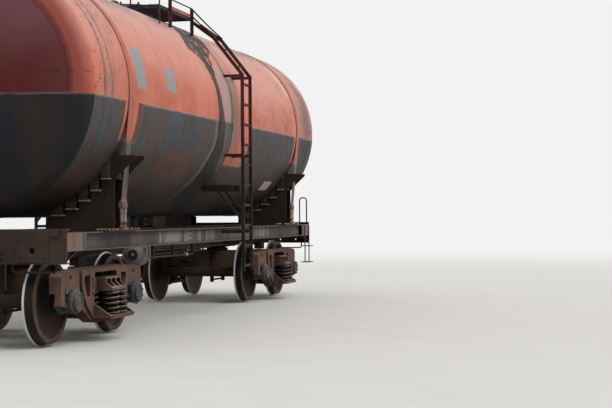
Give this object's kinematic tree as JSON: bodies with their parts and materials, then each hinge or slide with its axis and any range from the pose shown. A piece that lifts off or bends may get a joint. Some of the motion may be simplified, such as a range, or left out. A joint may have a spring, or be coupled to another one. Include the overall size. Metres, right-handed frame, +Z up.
{
  "type": "four-axle railway tank car",
  "caption": "Rail tank car: a dished-end tank strapped on a sill frame, with ladders, hatch, couplers and two swivelling three-piece bogies.",
  "frame": {"origin": "middle of the car on the plane that the wheel flanges stand on", "axes": "+X along the car towards its rear coupler, +Y across it, +Z up"},
  "size_m": [12.2228, 3.29, 4.6278],
  "materials": {
    "tank_paint": "weathered satin enamel",
    "frame_paint": "weathered matt enamel",
    "sill_paint": "faded matt enamel",
    "ladder_paint": "weathered satin enamel",
    "strap_steel": "weathered satin enamel",
    "cast_steel": "rusty casting",
    "box_grey": "dusty casting",
    "spring_steel": "rusty bar",
    "wheel_steel": "rolled steel, bright at the tread",
    "axle_steel": "turned steel, dull",
    "brake_iron": "dusty casting",
    "pipe_paint": "matt enamel",
    "timber": "weathered beech"
  },
  "bodies": {
    "car": {"tank": "tank_paint", "hatch_neck": "tank_paint", "relief_valves": "ladder_paint", "tank_straps": "strap_steel", "saddle_plates": "frame_paint", "saddle_timbers": "timber", "centre_sill": "frame_paint", "side_sills": "sill_paint", "end_beam_front": "frame_paint", "end_beam_rear": "frame_paint", "body_bolsters": "frame_paint", "cross_beams": "frame_paint", "tank_feet": "frame_paint", "coupler_front": "cast_steel", "coupler_rear": "cast_steel", "end_rails": "ladder_paint", "release_levers": "ladder_paint", "ladder_left": "ladder_paint", "ladder_right": "ladder_paint", "deck_left": "ladder_paint", "deck_right": "ladder_paint", "air_reservoir": "pipe_paint", "brake_cylinder": "pipe_paint", "brake_rods": "brake_iron", "train_pipe": "pipe_paint", "drain_valve": "pipe_paint", "corner_steps": "ladder_paint"},
    "hatch_lid": {"hatch_lid": "tank_paint"},
    "bogie_1": {"bogie_1_side_frames": "cast_steel", "bogie_1_springs": "spring_steel", "bogie_1_bolster": "cast_steel", "bogie_1_axle_boxes": "box_grey", "bogie_1_brake_gear": "brake_iron"},
    "wheelset_1": {"axle_1": "axle_steel", "wheels_1": "wheel_steel"},
    "wheelset_2": {"axle_2": "axle_steel", "wheels_2": "wheel_steel"},
    "bogie_2": {"bogie_2_side_frames": "cast_steel", "bogie_2_springs": "spring_steel", "bogie_2_bolster": "cast_steel", "bogie_2_axle_boxes": "box_grey", "bogie_2_brake_gear": "brake_iron"},
    "wheelset_3": {"axle_3": "axle_steel", "wheels_3": "wheel_steel"},
    "wheelset_4": {"axle_4": "axle_steel", "wheels_4": "wheel_steel"}
  },
  "joints": [
    {"name": "hatch_lid_hinge", "type": "hinge", "parent": "car", "child": "hatch_lid", "pos_m": [0.16, 0, 4.477], "axis": [0, 1, 0], "range_deg": [0, 100]},
    {"name": "bogie_1_swivel", "type": "hinge", "parent": "car", "child": "bogie_1", "pos_m": [-3.9, 0, 0.8583], "axis": [0, 0, 1], "range_deg": [-4, 4]},
    {"name": "wheelset_1_spin", "type": "hinge", "parent": "bogie_1", "child": "wheelset_1", "pos_m": [-4.825, 0, 0.503], "axis": [0, 1, 0], "continuous": true},
    {"name": "wheelset_2_spin", "type": "hinge", "parent": "bogie_1", "child": "wheelset_2", "pos_m": [-2.975, 0, 0.503], "axis": [0, 1, 0], "continuous": true},
    {"name": "bogie_2_swivel", "type": "hinge", "parent": "car", "child": "bogie_2", "pos_m": [3.9, 0, 0.8583], "axis": [0, 0, 1], "range_deg": [-4, 4]},
    {"name": "wheelset_3_spin", "type": "hinge", "parent": "bogie_2", "child": "wheelset_3", "pos_m": [2.975, 0, 0.503], "axis": [0, 1, 0], "continuous": true},
    {"name": "wheelset_4_spin", "type": "hinge", "parent": "bogie_2", "child": "wheelset_4", "pos_m": [4.825, 0, 0.503], "axis": [0, 1, 0], "continuous": true}
  ]
}
